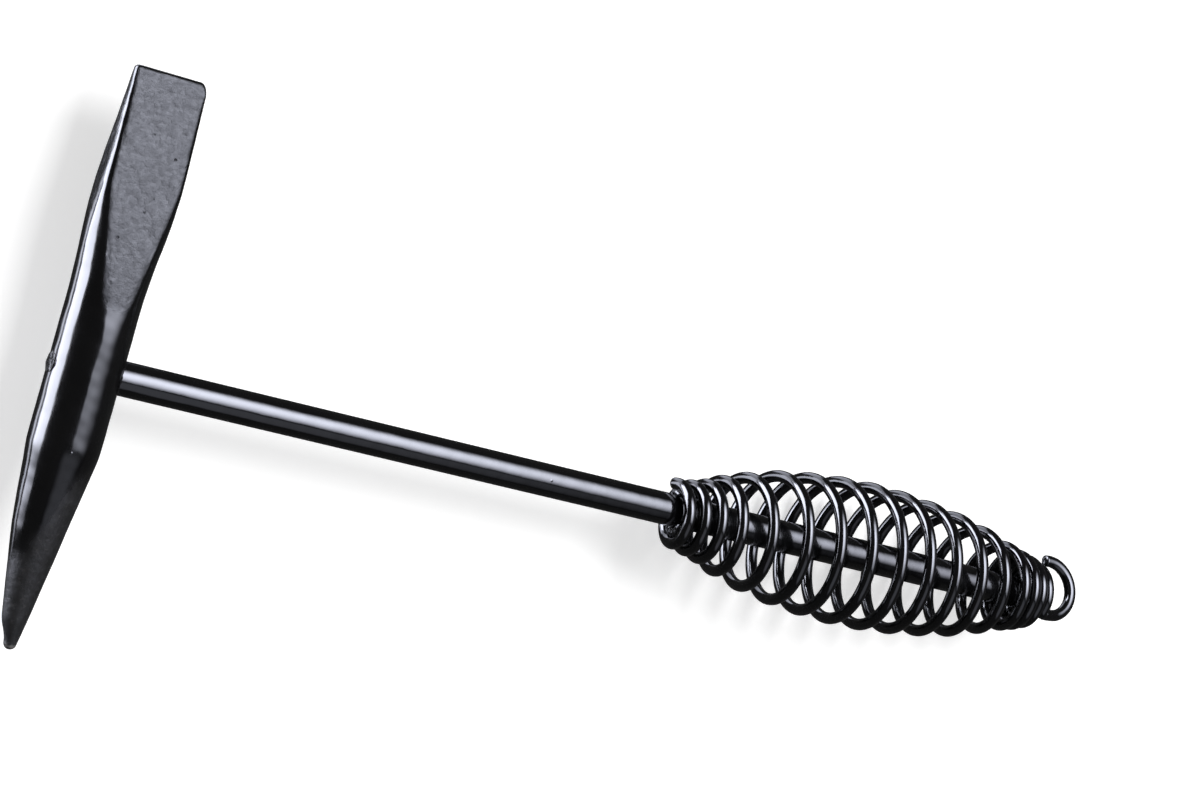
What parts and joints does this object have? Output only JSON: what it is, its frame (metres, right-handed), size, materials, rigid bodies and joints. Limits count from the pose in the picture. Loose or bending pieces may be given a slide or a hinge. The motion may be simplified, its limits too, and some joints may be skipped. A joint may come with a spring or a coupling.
{
  "type": "chipping hammer",
  "caption": "Chipping hammer with a forged head, conical point and flared chisel blade, on a round steel rod with a barrel-shaped coiled wire grip and hang loop.",
  "frame": {"origin": "bottom centre of the whole hammer's box, with the hammer lying on the lowest point of its coil", "axes": "+X along the handle from the head to the hang loop, +Y along the head from the conical point to the chisel edge, +Z square to the chisel's two broad facets"},
  "size_m": [0.2904, 0.133, 0.0376],
  "materials": {
    "forged_paint": "satin black paint over a rough forging",
    "gloss_paint": "gloss black paint with a light orange peel",
    "weld_paint": "black paint over weld metal"
  },
  "bodies": {
    "root": {"chipping_head": "forged_paint", "handle_rod": "gloss_paint", "front_plug_weld": "weld_paint", "head_fillet_weld": "weld_paint", "spring_grip": "gloss_paint", "start_tack_weld": "weld_paint", "front_grip_weld": "weld_paint", "rear_grip_weld": "weld_paint"}
  },
  "joints": []
}
